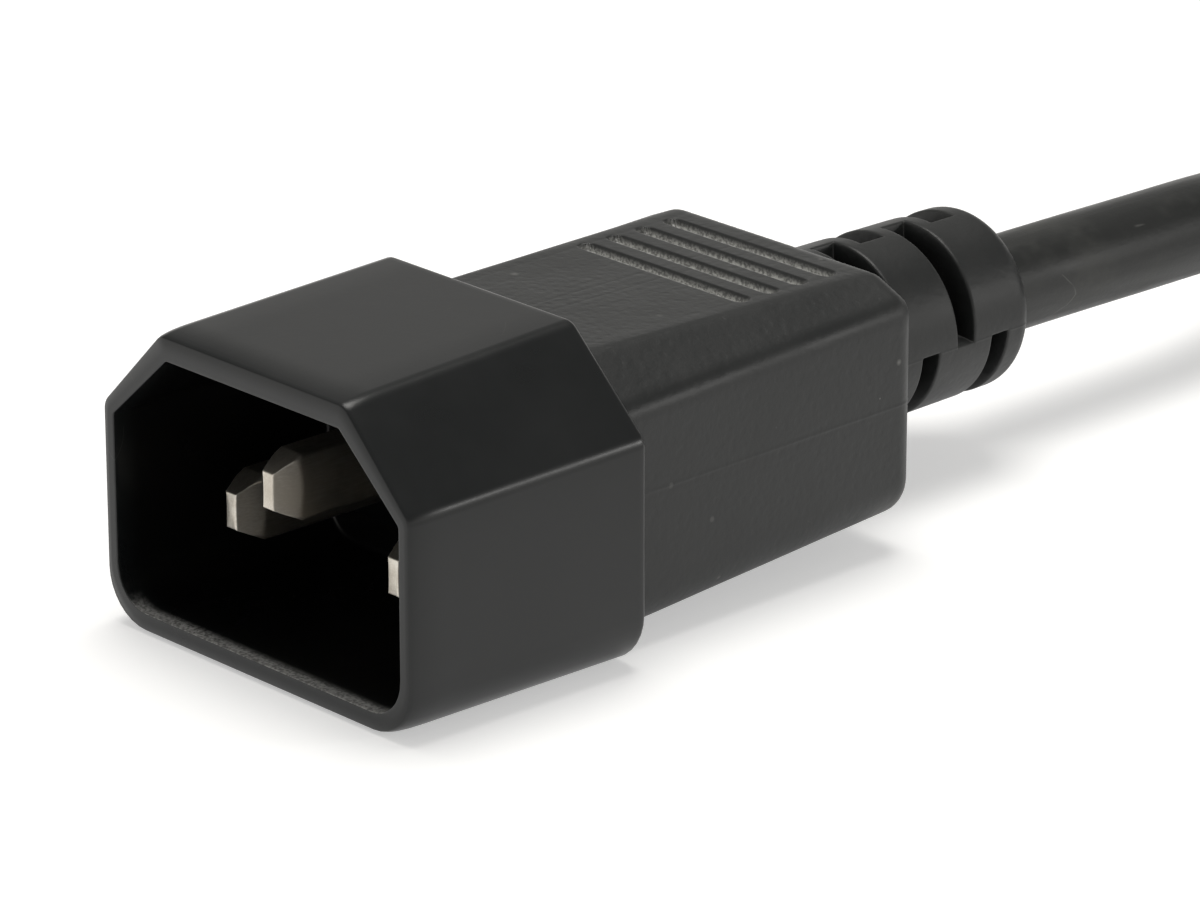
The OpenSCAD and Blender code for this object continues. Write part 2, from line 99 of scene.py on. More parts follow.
def makePiece(name, shell, material, replaced, marks=None):
    points, faces = shell
    mesh = bpy.data.meshes.new(name)
    mesh.from_pydata((points * mm).tolist(), [], faces)
    for markName, values in (marks or {}).items():    # numbers or vectors that follow the surface
        vector = values.ndim == 2
        layer = mesh.attributes.new(markName, "FLOAT_VECTOR" if vector else "FLOAT", "POINT")
        layer.data.foreach_set("vector" if vector else "value", values.astype(np.float32).ravel())
    mesh.shade_smooth()
    mesh.materials.append(material)
    piece = bpy.data.objects.new(name, mesh)
    scene.collection.objects.link(piece)
    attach(piece, "root")
    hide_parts(*replaced)
    print("piece:", name, len(mesh.vertices), "points")
    return piece


def outlines(sections, insets, arcSteps=8, flatSteps=6):
    # Six-cornered outlines with rounded corners, one row each. A corner's arc stands one radius in from
    # both of its sides and is smaller by the inset; evenly spaced points join one arc to the next.
    half, low, high, flat, bevel = sections[:, :5].T
    cornersX = np.stack([-half, half, half, flat, -flat, -half], 1)
    cornersZ = np.stack([low, low, high - bevel, high, high, high - bevel], 1)
    corners = np.stack([cornersX, cornersZ], 2)
    radii = sections[:, [5, 5, 6, 7, 7, 6]][..., None]
    side = corners - np.roll(corners, 1, 1)
    angle = np.arctan2(side[..., 1], side[..., 0]) - np.pi / 2
    turn = (np.roll(angle, -1, 1) - angle) % (2 * np.pi)
    before = np.stack([np.cos(angle), np.sin(angle)], -1)
    after = np.roll(before, -1, 1)
    centres = corners - radii * (before + after) / (1 + (before * after).sum(-1, keepdims=True))
    sweep = angle[..., None] + turn[..., None] * np.linspace(0, 1, arcSteps + 1)
    size = np.maximum(radii - insets[:, None, None], 0.02)[..., None]
    arcs = centres[:, :, None] + size * np.stack([np.cos(sweep), np.sin(sweep)], -1)
    along = np.linspace(0, 1, flatSteps + 1)[1:-1, None]
    ahead = np.roll(arcs[:, :, :1], -1, 1)
    flats = arcs[:, :, -1:] * (1 - along) + ahead * along
    return np.concatenate([arcs, flats], 2).reshape(len(sections), -1, 2)


def blendSections(front, rear, share):
    share = np.asarray(share, float)[:, None]
    return np.array(front, float) * (1 - share) + np.array(rear, float) * share


def rounding(steps=7):
    # The two sides of a quarter circle of radius 1: how far in and how far along.
    turn = np.linspace(0, np.pi / 2, steps)
    return 1 - np.sin(turn), 1 - np.cos(turn)


def lathe(profile, x, z, around=24):
    # Each (y, radius) of the profile is a circle about a line along Y.
    profile = np.array(profile, float)
    angle = np.linspace(0, 2 * np.pi, around, endpoint=False)
    rings = np.stack([
        x + profile[:, 1:] * np.cos(angle),
        np.repeat(profile[:, :1], around, 1),
        z + profile[:, 1:] * np.sin(angle)], -1)
    return closedShell(rings)


def place(tree, kind, inputs=(), **settings):
    # A node whose inputs are values or (node, output) pairs.
    node = tree.nodes.new("ShaderNode" + kind)
    for name, value in settings.items():
        setattr(node, name, value)
    for name, value in dict(inputs).items():
        if isinstance(value, tuple) and isinstance(value[0], bpy.types.Node):
            tree.links.new(value[0].outputs[value[1]], node.inputs[name])
        else:
            node.inputs[name].default_value = value
    return node


def calc(tree, operation, *values, clamp=False):
    return place(tree, "Math", dict(enumerate(values)), operation=operation, use_clamp=clamp), 0


def mixColour(tree, factor, first, second):
    return place(tree, "Mix", {0: factor, 6: first, 7: second}, data_type="RGBA"), 2


def band(tree, value, low, high, outLow=0.0, outHigh=1.0):
    # value from low to high becomes outLow to outHigh, smoothly and no further.
    return place(
        tree, "MapRange", {"Value": value, 1: low, 2: high, 3: outLow, 4: outHigh},
        interpolation_type="SMOOTHSTEP"), 0


def newGroup(name, inputs, outputs):
    group = bpy.data.node_groups.new(name, "ShaderNodeTree")
    for socketName, kind, value in inputs:
        socket = group.interface.new_socket(socketName, in_out="INPUT", socket_type="NodeSocket" + kind)
        if value is not None:
            socket.default_value = value
    for socketName in outputs:
        group.interface.new_socket(socketName, in_out="OUTPUT", socket_type="NodeSocketFloat")
    return group, group.nodes.new("NodeGroupInput"), group.nodes.new("NodeGroupOutput")


def makeSpeckGroup():
    # Dust: a few round cells of a voronoi pattern, picked by their random colour.
    group, given, out = newGroup(
        "dustSpecks", [("Vector", "Vector", None), ("Scale", "Float", 1.0), ("Amount", "Float", 0.05),
                       ("Size", "Float", 0.2)], ["Mask"])
    cells = place(group, "TexVoronoi", {"Vector": (given, 0), "Scale": (given, 1)})
    shade = place(group, "SeparateColor", {0: (cells, "Color")})
    picked = calc(group, "LESS_THAN", (shade, 0), (given, 2))
    reach = calc(group, "MULTIPLY", (given, 3), (shade, 1))
    near = calc(group, "SUBTRACT", 1.0, calc(group, "DIVIDE", (cells, "Distance"), reach), clamp=True)
    group.links.new(calc(group, "MULTIPLY", picked, near)[0].outputs[0], out.inputs[0])
    return group


def makeHairGroup():
    # Hairline scratches: short lengths of the contour lines of a soft noise.
    group, given, out = newGroup(
        "hairlines", [("Vector", "Vector", None), ("Scale", "Float", 1.0), ("Width", "Float", 0.01),
                      ("Amount", "Float", 0.4)], ["Mask"])
    soft = place(group, "TexNoise", {"Vector": (given, 0), "Scale": (given, 1), "Detail": 0.0})
    off = calc(group, "ABSOLUTE", calc(group, "SUBTRACT", (soft, 0), 0.5))
    line = calc(group, "SUBTRACT", 1.0, calc(group, "DIVIDE", off, (given, 2)), clamp=True)
    often = calc(group, "MULTIPLY", (given, 1), 1.7)
    where = place(group, "TexNoise", {"Vector": (given, 0), "Scale": often, "Detail": 1.0})
    floorValue = calc(group, "SUBTRACT", 0.75, calc(group, "MULTIPLY", (given, 3), 0.3))
    shown = band(group, (where, 0), floorValue, calc(group, "ADD", floorValue, 0.06))
    group.links.new(calc(group, "MULTIPLY", line, shown)[0].outputs[0], out.inputs[0])
    return group


def makeGrainGroup():
    # Moulded grain: fine noise with the small flat-bottomed pits of an etched tool.
    group, given, out = newGroup(
        "mouldGrain", [("Vector", "Vector", None), ("Scale", "Float", 1.0), ("Pits", "Float", 0.5)],
        ["Height", "Blotch"])
    fine = place(group, "TexNoise", {"Vector": (given, 0), "Scale": (given, 1), "Detail": 3.0,
                                     "Roughness": 0.6})
    coarser = calc(group, "MULTIPLY", (given, 1), 0.55)
    pits = place(group, "TexVoronoi", {"Vector": (given, 0), "Scale": coarser}, feature="SMOOTH_F1")
    deep = calc(group, "MULTIPLY", band(group, (pits, 0), 0.15, 0.5), (given, 2))
    broad = calc(group, "MULTIPLY", (given, 1), 0.03)
    blotch = place(group, "TexNoise", {"Vector": (given, 0), "Scale": broad, "Detail": 4.0,
                                       "Roughness": 0.65})
    group.links.new(calc(group, "ADD", (fine, 0), deep)[0].outputs[0], out.inputs[0])
    group.links.new(blotch.outputs[0], out.inputs[1])
    return group


def makeWearGroup():
    # Edge wear: where a rounded normal leaves the true one, broken up by noise.
    group, given, out = newGroup(
        "edgeWear", [("Vector", "Vector", None), ("Radius", "Float", 0.0004), ("Scale", "Float", 1.0)],
        ["Mask"])
    rounded = place(group, "Bevel", {"Radius": (given, 1)}, samples=6)
    true = place(group, "NewGeometry")
    same = place(group, "VectorMath", {0: (rounded, 0), 1: (true, "Normal")}, operation="DOT_PRODUCT")
    edge = band(group, calc(group, "SUBTRACT", 1.0, (same, "Value")), 0.005, 0.12)
    broken = place(group, "TexNoise", {"Vector": (given, 0), "Scale": (given, 2), "Detail": 4.0})
    worn = calc(group, "MULTIPLY", edge, band(group, (broken, 0), 0.35, 0.65, 0.35, 1.0))
    group.links.new(worn[0].outputs[0], out.inputs[0])
    return group


groups = {
    "specks": makeSpeckGroup(),
    "hairs": makeHairGroup(),
    "grain": makeGrainGroup(),
    "wear": makeWearGroup(),
}


def useGroup(tree, key, **inputs):
    return place(tree, "Group", inputs, node_tree=groups[key])


def newFinish(name, shader):
    # A material with one Principled shader, whose fixed numbers are set on its own sockets.
    material = bpy.data.materials.new(name)
    material.use_nodes = True
    tree = material.node_tree
    tree.nodes.clear()
    main = place(tree, "BsdfPrincipled", shader)
    end = place(tree, "OutputMaterial", {"Surface": (main, 0)})
    end.location = (400, 0)
    return material, tree, main


def feed(tree, main, **sources):
    for name, (node, output) in sources.items():
        tree.links.new(node.outputs[output], main.inputs[name.replace("_", " ")])


def plasticFinish(name, look):
    # Moulded plastic: grain, blotches of gloss, paler worn edges, hairlines and dust. Three attributes
    # mark the mesh: one is painted shade, black where light doesn't reach into hollows; one is a painted
    # highlight, pale with a sparkle; and "glint" is rough with a sparkle.
    material, tree, main = newFinish(name, {
        "IOR": look["ior"], "Specular IOR Level": look["specular"], "Coat Roughness": 0.2})
    where = (place(tree, "TexCoord"), "Object")
    grain = useGroup(tree, "grain", Vector=where, Scale=look["grainScale"], Pits=look["pits"])
    wear = useGroup(tree, "wear", Vector=where, Radius=look["wearRadius"], Scale=900.0)
    hairs = useGroup(tree, "hairs", Vector=where, Scale=look["hairScale"], Width=look["hairWidth"],
                     Amount=look["hairs"])
    specks = useGroup(tree, "specks", Vector=where, Scale=look["speckScale"], Amount=look["specks"],
                      Size=0.35)
    paintedShadeMask = (place(tree, "Attribute", attribute_name="inside"), "Fac")
    glint = (place(tree, "Attribute", attribute_name="glint"), "Fac")
    pale = (place(tree, "Attribute", attribute_name="pale"), "Fac")
    sparkle = place(tree, "TexNoise", {"Vector": where, "Scale": 5200.0, "Detail": 2.0})
    base = mixColour(tree, band(tree, (grain, "Blotch"), 0.3, 0.7), look["colour"], look["blotch"])
    # Painted highlight: a pale colour with a sparkle where the mesh is marked for it.
    highlightMask = calc(tree, "MULTIPLY", pale, band(tree, (sparkle, 0), 0.35, 0.65, 0.35, 1.0))
    base = mixColour(tree, highlightMask, base, look["highlightColour"])
    base = mixColour(tree, calc(tree, "MULTIPLY", (wear, 0), look["wear"]), base, look["worn"])
    marks = calc(tree, "MAXIMUM", calc(tree, "MULTIPLY", (hairs, 0), 0.5), (specks, 0))
    base = mixColour(tree, calc(tree, "MULTIPLY", marks, look["dust"]), base, (0.42, 0.42, 0.4, 1))
    # Painted shade: black where the mesh is marked as out of the light.
    base = mixColour(tree, paintedShadeMask, base, (0.003, 0.003, 0.003, 1))
    smooth, dull = look["rough"] - look["uneven"], look["rough"] + look["uneven"]
    rough = band(tree, (grain, "Blotch"), 0.3, 0.7, smooth, dull)
    rough = calc(tree, "ADD", rough, calc(tree, "MULTIPLY", marks, 0.25))
    rough = calc(tree, "SUBTRACT", rough, calc(tree, "MULTIPLY", glint, look["glint"]), clamp=True)
    height = calc(tree, "SUBTRACT", (grain, "Height"), calc(tree, "MULTIPLY", (hairs, 0), 0.7))
    grit = calc(tree, "MULTIPLY", calc(tree, "MULTIPLY", (sparkle, 0), glint), 5.0)
    height = calc(tree, "ADD", height, grit)
    bump = place(tree, "Bump", {"Height": height, "Strength": look["bump"], "Distance": look["bumpHeight"]})
    feed(tree, main, Base_Color=base, Roughness=rough, Normal=(bump, 0))
    return material


finishes = {}
# The last colour of each look is a painted highlight.
finishes["shroud"] = plasticFinish("shroudPlastic", {
    "colour": (0.0062, 0.0072, 0.0076, 1), "blotch": (0.0088, 0.0098, 0.0102, 1),
    "worn": (0.07, 0.072, 0.072, 1), "wear": 0.35, "wearRadius": 0.00045,
    "rough": 0.3, "uneven": 0.035, "ior": 1.47, "specular": 0.43,
    "grainScale": 2600.0, "pits": 0.2, "bump": 0.12, "bumpHeight": 0.00002,
    "hairScale": 170.0, "hairWidth": 0.0012, "hairs": 0.35,
    "speckScale": 620.0, "specks": 0.022, "dust": 0.4, "glint": 0.0, "highlightColour": (0.4, 0.4, 0.39, 1),
})
finishes["grip"] = plasticFinish("gripVinyl", {
    "colour": (0.0075, 0.0086, 0.0088, 1), "blotch": (0.0115, 0.0126, 0.0126, 1),
    "worn": (0.09, 0.092, 0.088, 1), "wear": 0.3, "wearRadius": 0.0004,
    "rough": 0.46, "uneven": 0.05, "ior": 1.47, "specular": 0.5,
    "grainScale": 3000.0, "pits": 0.5, "bump": 0.35, "bumpHeight": 0.00004,
    "hairScale": 120.0, "hairWidth": 0.0012, "hairs": 0.05,
    "speckScale": 900.0, "specks": 0.04, "dust": 0.35, "glint": 0.12, "highlightColour": (0.42, 0.42, 0.4, 1),
})
finishes["nose"] = plasticFinish("nosePlastic", {
    "colour": (0.01, 0.0105, 0.011, 1), "blotch": (0.014, 0.0145, 0.015, 1),
    "worn": (0.07, 0.072, 0.072, 1), "wear": 0.35, "wearRadius": 0.0004,
    "rough": 0.36, "uneven": 0.04, "ior": 1.47, "specular": 0.38,
    "grainScale": 2600.0, "pits": 0.2, "bump": 0.12, "bumpHeight": 0.00002,
    "hairScale": 170.0, "hairWidth": 0.0014, "hairs": 0.5,
    "speckScale": 700.0, "specks": 0.02, "dust": 0.35, "glint": 0.0, "highlightColour": (0.2, 0.2, 0.195, 1),
})


def metalFinish(name, look):
    # Rolled sheet: fine lines along the part, soft tarnish, brighter rubbed edges.
    material, tree, main = newFinish(name, {"Metallic": 1.0})
    where = (place(tree, "TexCoord"), "Object")
    drawn = place(tree, "Mapping", {"Vector": where, "Scale": look["stretch"]})
    lines = place(tree, "TexNoise", {"Vector": (drawn, 0), "Scale": 9000.0, "Detail": 3.0})
    tarnish = place(tree, "TexNoise", {"Vector": where, "Scale": 420.0, "Detail": 4.0})
    wear = useGroup(tree, "wear", Vector=where, Radius=0.00025, Scale=1500.0)
    shade = calc(tree, "ADD", calc(tree, "MULTIPLY", (lines, 0), 0.35),
                 calc(tree, "MULTIPLY", (tarnish, 0), 0.65))
    base = mixColour(tree, band(tree, shade, 0.35, 0.65), look["colour"], look["tarnish"])
    base = mixColour(tree, calc(tree, "MULTIPLY", (wear, 0), 0.6), base, look["bright"])
    rough = band(tree, shade, 0.3, 0.7, look["rough"], look["rough"] + 0.15)
    bump = place(tree, "Bump", {"Height": (lines, 0), "Strength": 0.35, "Distance": 0.00002})
    feed(tree, main, Base_Color=base, Roughness=rough, Normal=(bump, 0))
    return material


finishes["nickel"] = metalFinish("pinNickel", {
    "colour": (0.62, 0.59, 0.53, 1), "tarnish": (0.46, 0.42, 0.36, 1), "bright": (0.85, 0.83, 0.78, 1),
    "rough": 0.3, "stretch": (1.0, 0.06, 1.0)})
finishes["brass"] = metalFinish("contactBrass", {
    "colour": (0.62, 0.47, 0.2, 1), "tarnish": (0.42, 0.3, 0.12, 1), "bright": (0.8, 0.66, 0.35, 1),
    "rough": 0.32, "stretch": (1.0, 0.06, 1.0)})
finishes["copper"] = metalFinish("wireCopper", {
    "colour": (0.72, 0.32, 0.16, 1), "tarnish": (0.4, 0.17, 0.09, 1), "bright": (0.85, 0.5, 0.32, 1),
    "rough": 0.35, "stretch": (1.0, 0.1, 1.0)})


def wireFinish(name, look):
    # Wire insulation: soft vinyl with a slight mottle, and a second colour in stripes where there is one.
    material, tree, main = newFinish(name, {"IOR": 1.5, "Specular IOR Level": 0.4})
    where = (place(tree, "TexCoord"), "Object")
    mottle = place(tree, "TexNoise", {"Vector": where, "Scale": 700.0, "Detail": 3.0})
    base = mixColour(tree, band(tree, (mottle, 0), 0.3, 0.7), look["colour"], look["shade"])
    if "stripe" in look:
        parts = place(tree, "SeparateXYZ", {0: where})
        slant = calc(tree, "ADD", (parts, 0), calc(tree, "MULTIPLY", (parts, 2), 0.6))
        wave = calc(tree, "SINE", calc(tree, "MULTIPLY", slant, 3200.0))
        base = mixColour(tree, band(tree, wave, 0.2, 0.3), base, look["stripe"])
    bump = place(tree, "Bump", {"Height": (mottle, 0), "Strength": 0.2, "Distance": 0.00003})
    rough = band(tree, (mottle, 0), 0.3, 0.7, 0.38, 0.5)
    feed(tree, main, Base_Color=base, Roughness=rough, Normal=(bump, 0))
    return material


finishes["brown"] = wireFinish("wireBrown", {
    "colour": (0.13, 0.05, 0.02, 1), "shade": (0.1, 0.038, 0.015, 1)})
finishes["blue"] = wireFinish("wireBlue", {
    "colour": (0.02, 0.1, 0.4, 1), "shade": (0.015, 0.08, 0.33, 1)})
finishes["earth"] = wireFinish("wireGreenYellow", {
    "colour": (0.04, 0.3, 0.07, 1), "shade": (0.03, 0.25, 0.06, 1), "stripe": (0.75, 0.6, 0.03, 1)})


def jacketFinish(name, look):
    # Cord jacket: an extruded satin skin. The pattern follows the "lie" attribute, which is the distance
    # along the cord and the direction round it, so that it bends with the cord.
    material, tree, main = newFinish(name, {"IOR": 1.47, "Specular IOR Level": 0.45})
    lie = (place(tree, "Attribute", attribute_name="lie"), "Vector")
    drawn = place(tree, "Mapping", {"Vector": lie, "Scale": (0.12, 1.0, 1.0)})
    streaks = place(tree, "TexNoise", {"Vector": (drawn, 0), "Scale": 9.0, "Detail": 4.0, "Roughness": 0.6})
    grain = useGroup(tree, "grain", Vector=lie, Scale=42.0, Pits=0.25)
    hairs = useGroup(tree, "hairs", Vector=lie, Scale=1.6, Width=0.004, Amount=0.55)
    specks = useGroup(tree, "specks", Vector=lie, Scale=7.0, Amount=0.03, Size=0.3)
    scuffs = band(tree, (grain, "Blotch"), 0.45, 0.72)
    base = mixColour(tree, scuffs, look["colour"], look["scuffed"])
    marks = calc(tree, "MAXIMUM", calc(tree, "MULTIPLY", (hairs, 0), 0.5), (specks, 0))
    base = mixColour(tree, calc(tree, "MULTIPLY", marks, 0.3), base, (0.4, 0.4, 0.38, 1))
    rough = calc(tree, "ADD", band(tree, (streaks, 0), 0.3, 0.7, look["rough"], look["rough"] + 0.1),
                 calc(tree, "MULTIPLY", scuffs, 0.12))
    height = calc(tree, "ADD", calc(tree, "MULTIPLY", (streaks, 0), 2.0), (grain, "Height"))
    bump = place(tree, "Bump", {"Height": height, "Strength": 0.22, "Distance": 0.00005})
    feed(tree, main, Base_Color=base, Roughness=rough, Normal=(bump, 0))
    return material


finishes["jacket"] = jacketFinish("cordJacket", {
    "colour": (0.013, 0.014, 0.0135, 1), "scuffed": (0.04, 0.041, 0.038, 1), "rough": 0.38})


def weaveFinish(name, look):
    # Strap: a plain weave of yarns along and across the band, from its own distances in mm.
    material, tree, main = newFinish(name, {"Sheen Weight": 0.25, "Sheen Roughness": 0.5, "IOR": 1.5,
                                            "Specular IOR Level": 0.25})
    lie = (place(tree, "Attribute", attribute_name="lie"), "Vector")
    parts = place(tree, "SeparateXYZ", {0: lie})
    across = calc(tree, "MULTIPLY", (parts, 0), 2 * math.pi * look["picks"])
    along = calc(tree, "MULTIPLY", (parts, 1), 2 * math.pi * look["ends"])
    yarns = calc(tree, "MULTIPLY", calc(tree, "SINE", across), calc(tree, "SINE", along))
    fuzz = place(tree, "TexNoise", {"Vector": lie, "Scale": 6.0, "Detail": 4.0})
    height = calc(tree, "ADD", yarns, calc(tree, "MULTIPLY", (fuzz, 0), 1.2))
    # The colour follows the weave's height: darker low down is painted shade between the yarns.
    base = mixColour(tree, band(tree, height, -0.4, 1.6), look["deep"], look["yarn"])
    bump = place(tree, "Bump", {"Height": height, "Strength": 0.8, "Distance": 0.0001})
    feed(tree, main, Base_Color=base, Roughness=band(tree, (fuzz, 0), 0.3, 0.7, 0.75, 0.95), Normal=(bump, 0))
    return material


# The deep colour is painted shade in the weave's hollows.
finishes["strap"] = weaveFinish("strapWeave", {
    "deep": (0.006, 0.006, 0.0065, 1), "yarn": (0.03, 0.031, 0.033, 1), "picks": 1.6, "ends": 1.25})
print("finishes:", len(finishes))


cordSpec = {
    "radius": 3.1,
    "free": [(0, 8.4, 9.5), (0, 11.2, 9.5), (0, 20, 9.5), (0, 27.4, 9.4), (0, 36, 9.3), (0, 42, 9.2),
             (-0.2, 49, 9), (-1.3, 56, 8.2), (-3.4, 63, 6.9), (-6, 70, 5.5), (-8.7, 77, 4.5),
             (-10.9, 84, 4.1), (-12.2, 91, 4.1), (-12.8, 98, 4.1)],
    "near": 102, "far": 140,              # y of the ends of the hank's straight runs
    "centre": 12, "inner": 18.6, "outer": 24.8,
    "layers": (4.1, 10.3),
    "connectorX": -9.7, "connectorZ": 22.9, "connectorEnd": 124.2,
    "spacing": 1.5, "around": 28,
}


def smoothLine(points, steps=12):
    # Catmull-Rom: each span leaves and arrives with the slope between the points either side of it.
    p = np.array(points, float)
    slope = np.gradient(p, axis=0)
    t = np.linspace(0, 1, steps, endpoint=False)[None, :, None]
    a, b, da, db = p[:-1, None], p[1:, None], slope[:-1, None], slope[1:, None]
    line = (2*t**3 - 3*t**2 + 1)*a + (t**3 - 2*t**2 + t)*da + (3*t**2 - 2*t**3)*b + (t**3 - t**2)*db
    return np.concatenate([line.reshape(-1, 3), p[-1:]])


def halfTurn(centreX, y, radiusX, radiusY, z, zEnd, towards, steps=48):
    # Half an ellipse, from the left round the far end (towards 1) or from the right round the near one (-1).
    turn = np.linspace(0, np.pi, steps)
    rise = (1 - np.cos(turn)) / 2
    return np.stack([
        centreX - towards * radiusX * np.cos(turn),
        y + towards * radiusY * np.sin(turn),
        z + (zEnd - z) * rise], -1)


def cordRoute(spec):
    # The free run, four turns of the hank in two layers, then a climb into the connector on top of them.
    c, near, far, low, high = spec["centre"], spec["near"], spec["far"], *spec["layers"]
    inner, outer = spec["inner"], spec["outer"]
    middle = (inner + outer) / 2
    shift = (outer - inner) / 2
    tailRadius = (c + outer - spec["connectorX"]) / 2
    runLength = far - near
    tailLength = runLength + np.pi * tailRadius

    def climb(s):
        return high + (spec["connectorZ"] - high) * (1 - np.cos(np.pi * s / tailLength)) / 2

    tailTurn = np.linspace(0, np.pi, 60)
    down = np.linspace(0, 1, 16, endpoint=False)
    lastRun = np.stack([np.full(16, c + outer), far - runLength * down, climb(runLength * down)], -1)
    lastTurn = np.stack([
        c + outer - tailRadius + tailRadius * np.cos(tailTurn),
        near - tailRadius * np.sin(tailTurn),
        climb(runLength + tailRadius * tailTurn)], -1)
    return np.concatenate([
        smoothLine(spec["free"]),
        halfTurn(c, far, outer, outer, low, low, 1),
        halfTurn(c + shift, near, middle, outer, low, low, -1),
        halfTurn(c, far, inner, inner, low, low, 1),
        halfTurn(c, near, inner, inner, low, high, -1),
        halfTurn(c, far, inner, inner, high, high, 1),
        halfTurn(c - shift, near, middle, outer, high, high, -1),
        halfTurn(c, far, outer, outer, high, high, 1),
        lastRun,
        lastTurn,
        [[spec["connectorX"], spec["connectorEnd"], spec["connectorZ"]]]])


def evenly(line, spacing):
    # The same line with its points one spacing apart, measured along it.
    distance = np.concatenate([[0], np.cumsum(np.linalg.norm(np.diff(line, axis=0), axis=1))])
    keep = np.concatenate([[True], np.diff(distance) > 1e-6])
    line, distance = line[keep], distance[keep]
    wanted = np.linspace(0, distance[-1], round(distance[-1] / spacing) + 1)
    return np.stack([np.interp(wanted, distance, line[:, i]) for i in range(3)], -1), wanted


def makeCord(spec):
    # A circle carried along the route, with one of its axes always level.
    route, distance = evenly(cordRoute(spec), spec["spacing"])
    ahead = np.gradient(route, axis=0)
    ahead /= np.linalg.norm(ahead, axis=1, keepdims=True)
    side = np.cross(ahead, [0, 0, 1])
    side /= np.linalg.norm(side, axis=1, keepdims=True)
    up = np.cross(side, ahead)
    angle = np.linspace(0, 2 * np.pi, spec["around"], endpoint=False)[None, :, None]
    ring = np.cos(angle) * side[:, None] + np.sin(angle) * up[:, None]
    points, faces = closedShell(route[:, None] + spec["radius"] * ring)
    cm = 0.1
    lie = np.stack(np.broadcast_arrays(
        distance[:, None] * cm, np.cos(angle[..., 0]) * spec["radius"] * cm,
        np.sin(angle[..., 0]) * spec["radius"] * cm), -1).reshape(-1, 3)
    lie = np.concatenate([lie, [[0, 0, 0], [distance[-1] * cm, 0, 0]]])
    piece = makePiece("cord", (points, faces), finishes["jacket"],
                      ["cord_run", "cord_hank", "cord_tail"], {"lie": lie})
    print("cord:", round(distance[-1]), "mm with its ends in the plug and the connector")
    return piece, route


cordPiece, route = makeCord(cordSpec)


strapSpec = {
    "centre": (-9.7, 7.2), "inner": 6.25, "thick": 0.85, "cornerRadius": 3.2,
    "near": 105, "width": 10, "overlap": 5.5,
}


def makeStrap(spec):
    # A flat band with rounded edges, carried once round the four left runs and on over its own start.
    r, half = spec["cornerRadius"], spec["inner"] + spec["thick"] / 2
    spacing, cornerSteps, lift = 0.5, 9, spec["thick"] * 1.05
    turn = np.linspace(0, np.pi / 2, cornerSteps)
    corner = np.stack([np.cos(turn), np.sin(turn)], -1) * (r + spec["thick"] / 2)
    away = half - r - spec["thick"] / 2
    quarters = []
    for quarter in range(4):
        angle = quarter * np.pi / 2
        rotate = np.array([[np.cos(angle), np.sin(angle)], [-np.sin(angle), np.cos(angle)]])
        quarters.append((corner + away) @ rotate)
    loop = np.concatenate(quarters + [quarters[0][:1]])
    loop = np.roll(loop[:-1], 1 - cornerSteps * 2, axis=0)    # starts at the top of the left side, going down
    loop = np.concatenate([loop, loop[:1]])
    line = np.column_stack([loop[:, 0], np.zeros(len(loop)), loop[:, 1]])
    line, distance = evenly(line, spacing)
    ahead = np.gradient(line, axis=0)
    ahead /= np.linalg.norm(ahead, axis=1, keepdims=True)
    outward = np.stack([ahead[:, 2], np.zeros(len(line)), -ahead[:, 0]], -1)
    over = distance[:, None] < spec["overlap"]
    lap = line[over[:, 0]] + outward[over[:, 0]] * lift
    ease = np.clip((distance[-1] - distance) / 4, 0, 1)[:, None]
    body = line + outward * lift * (1 - ease) ** 2
    line = np.concatenate([body, lap[1:]])
    outward = np.concatenate([outward, outward[over[:, 0]][1:]])
    distance = np.arange(len(line)) * spacing
    edge = np.linspace(0, 2 * np.pi, 24, endpoint=False)
    w, t = spec["width"] / 2, spec["thick"] / 2
    across = np.clip(np.cos(edge) * w * 1.3, -w, w)
    proud = np.clip(np.sin(edge) * w, -t, t) * np.where(np.abs(across) > w - 0.01, 0.75, 1)
    centre = np.array([spec["centre"][0], spec["near"] + w, spec["centre"][1]])
    rings = (centre + line)[:, None] + outward[:, None] * proud[None, :, None] \
        + np.array([0, 1, 0]) * across[None, :, None]
    lie = np.stack(np.broadcast_arrays(across[None], distance[:, None], proud[None]), -1).reshape(-1, 3)
    lie = np.concatenate([lie, [[0, 0, 0], [0, distance[-1], 0]]])
    return makePiece(
        "strap", closedShell(rings), finishes["strap"], ["hank_strap"], {"lie": lie})


strapPiece = makeStrap(strapSpec)


mouthY = -30.6
shroudSpec = {
    # half width, low, high, half top flat, bevel height, then the lower, ridge and top radii
    "cavity": (12.25, 1.3, 17.3, 7.4, 4.4, 2.5, 0.35, 0.35),
    "front": (12.4, 0.9, 18.05, 7.6, 4.9, 2.5, 0.35, 0.35),
    "rear": (12.85, 0.9, 18.65, 7.4, 5.1, 2.5, 0.35, 0.35),
    "wall": 0.9, "length": 17.3, "depth": 16,
    "lipRadius": 0.08, "rearRadius": 0.35, "floorRadius": 0.3,
    "rollLength": 2.2, "rollDrop": 0.3,   # how the outside rolls down to the mouth
    "litDepth": 1.0,                      # how far light reaches along the walls
    "middle": 9.3,                        # height of the cavity's middle
    "stem": (9.4, 5.4, 4.5),              # half width, half height and length behind the shroud
}


